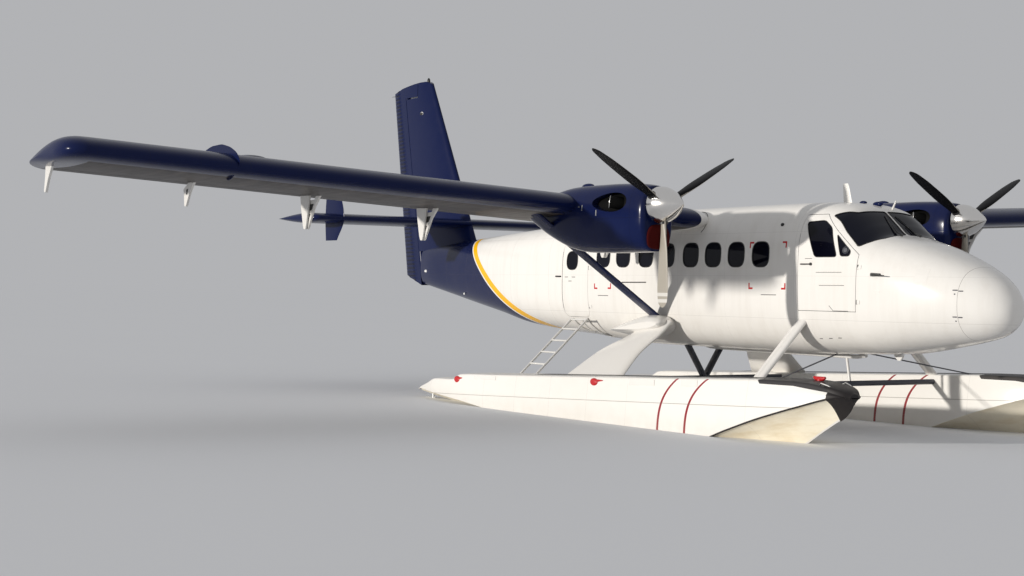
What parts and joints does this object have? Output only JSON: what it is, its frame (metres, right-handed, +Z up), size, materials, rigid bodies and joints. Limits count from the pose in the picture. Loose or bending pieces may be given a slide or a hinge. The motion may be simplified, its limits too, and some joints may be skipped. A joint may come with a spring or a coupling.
{
  "type": "twin-engine floatplane",
  "caption": "High-wing commuter floatplane with strut-braced wing, turning propellers, hinged control surfaces and opening doors.",
  "frame": {"origin": "on the ground plane under the middle of the box, keels of both floats at height zero", "axes": "+X forward along the fuselage, +Y to the aircraft's left along the wing, +Z up"},
  "size_m": [15.1313, 19.81, 5.93],
  "materials": {
    "white_paint": "gloss",
    "navy_paint": "gloss",
    "window_glass": "dark tint",
    "bare_aluminium": "satin",
    "blade_paint": "satin",
    "engine_metal": "heat stained"
  },
  "bodies": {
    "airframe": {"nose_cap": "white_paint", "cockpit_section": "white_paint", "cabin_section": "white_paint", "float_right": "white_paint", "float_left": "white_paint", "main_leg_right": "white_paint", "main_leg_left": "white_paint", "front_strut_right": "white_paint", "front_strut_left": "white_paint", "front_spreader": "white_paint", "tail_cone": "navy_paint", "wing_right": "navy_paint", "wing_left": "navy_paint", "nacelle_right": "navy_paint", "nacelle_left": "navy_paint", "tailplane": "navy_paint", "fin": "navy_paint", "wing_strut_right": "navy_paint", "wing_strut_left": "navy_paint", "rear_spreader": "navy_paint", "cabin_windows_right": "window_glass", "cabin_windows_left": "window_glass", "windscreen": "window_glass", "cabin_floor": "bare_aluminium", "boarding_ladder": "bare_aluminium", "engine_right": "engine_metal", "engine_left": "engine_metal"},
    "cockpit_door_right_body": {"cockpit_door_right": "white_paint", "cockpit_door_glass_right": "window_glass"},
    "cockpit_door_left_body": {"cockpit_door_left": "white_paint", "cockpit_door_glass_left": "window_glass"},
    "rear_door_right_body": {"rear_door_right": "white_paint", "rear_door_glass_right": "window_glass"},
    "rear_door_left_body": {"rear_door_left": "white_paint", "rear_door_glass_left": "window_glass"},
    "aileron_right_body": {"aileron_right": "navy_paint"},
    "aileron_left_body": {"aileron_left": "navy_paint"},
    "flap_right_body": {"flap_right": "navy_paint"},
    "flap_left_body": {"flap_left": "navy_paint"},
    "elevator_body": {"elevator": "navy_paint"},
    "rudder_body": {"rudder": "navy_paint"},
    "propeller_right_body": {"propeller_right": "blade_paint"},
    "propeller_left_body": {"propeller_left": "blade_paint"},
    "water_rudder_right_body": {"water_rudder_right": "bare_aluminium"},
    "water_rudder_left_body": {"water_rudder_left": "bare_aluminium"}
  },
  "joints": [
    {"name": "propeller_right_spin", "type": "hinge", "parent": "airframe", "child": "propeller_right_body", "pos_m": [4.235, -2.75, 3.27], "axis": [1, 0, 0], "continuous": true},
    {"name": "propeller_left_spin", "type": "hinge", "parent": "airframe", "child": "propeller_left_body", "pos_m": [4.235, 2.75, 3.27], "axis": [1, 0, 0], "continuous": true},
    {"name": "aileron_right_turn", "type": "hinge", "parent": "airframe", "child": "aileron_right_body", "pos_m": [1.2908, -7.95, 3.5061], "axis": [0, -0.9986, 0.0523], "range_deg": [-16, 16]},
    {"name": "aileron_left_turn", "type": "hinge", "parent": "airframe", "child": "aileron_left_body", "pos_m": [1.2908, 7.95, 3.5061], "axis": [0, 0.9986, 0.0523], "range_deg": [-16, 16]},
    {"name": "flap_right_turn", "type": "hinge", "parent": "airframe", "child": "flap_right_body", "pos_m": [1.2021, -3.62, 2.7989], "axis": [0, -0.9986, 0.0523], "range_deg": [0, 37.5]},
    {"name": "flap_left_turn", "type": "hinge", "parent": "airframe", "child": "flap_left_body", "pos_m": [1.2021, 3.62, 2.7989], "axis": [0, -0.9986, -0.0523], "range_deg": [0, 37.5]},
    {"name": "elevator_turn", "type": "hinge", "parent": "airframe", "child": "elevator_body", "pos_m": [-5.6505, 0, 3.335], "axis": [0, 1, 0], "range_deg": [-14, 18]},
    {"name": "rudder_turn", "type": "hinge", "parent": "airframe", "child": "rudder_body", "pos_m": [-6.53, 0, 3.27], "axis": [-0.2079, 0, 0.9782], "range_deg": [-16, 16]},
    {"name": "cockpit_door_right_swing", "type": "hinge", "parent": "airframe", "child": "cockpit_door_right_body", "pos_m": [5.737, -0.868, 2.3], "axis": [0, 0, 1], "range_deg": [0, 70]},
    {"name": "cockpit_door_left_swing", "type": "hinge", "parent": "airframe", "child": "cockpit_door_left_body", "pos_m": [5.737, 0.868, 2.3], "axis": [0, 0, -1], "range_deg": [0, 70]},
    {"name": "rear_door_right_swing", "type": "hinge", "parent": "airframe", "child": "rear_door_right_body", "pos_m": [0.071, -0.872, 2.3], "axis": [0, 0, 1], "range_deg": [0, 90]},
    {"name": "rear_door_left_swing", "type": "hinge", "parent": "airframe", "child": "rear_door_left_body", "pos_m": [0.071, 0.872, 2.3], "axis": [0, 0, -1], "range_deg": [0, 90]},
    {"name": "water_rudder_right_turn", "type": "hinge", "parent": "airframe", "child": "water_rudder_right_body", "pos_m": [-2.665, -1.95, 0.3], "axis": [0, 0, 1], "range_deg": [-30, 30]},
    {"name": "water_rudder_left_turn", "type": "hinge", "parent": "airframe", "child": "water_rudder_left_body", "pos_m": [-2.665, 1.95, 0.3], "axis": [0, 0, 1], "range_deg": [-30, 30]}
  ],
  "couplings": [
    {"joint": "aileron_left_turn", "follows": "aileron_right_turn", "ratio": 1},
    {"joint": "flap_left_turn", "follows": "flap_right_turn", "ratio": 1},
    {"joint": "water_rudder_left_turn", "follows": "water_rudder_right_turn", "ratio": 1}
  ]
}
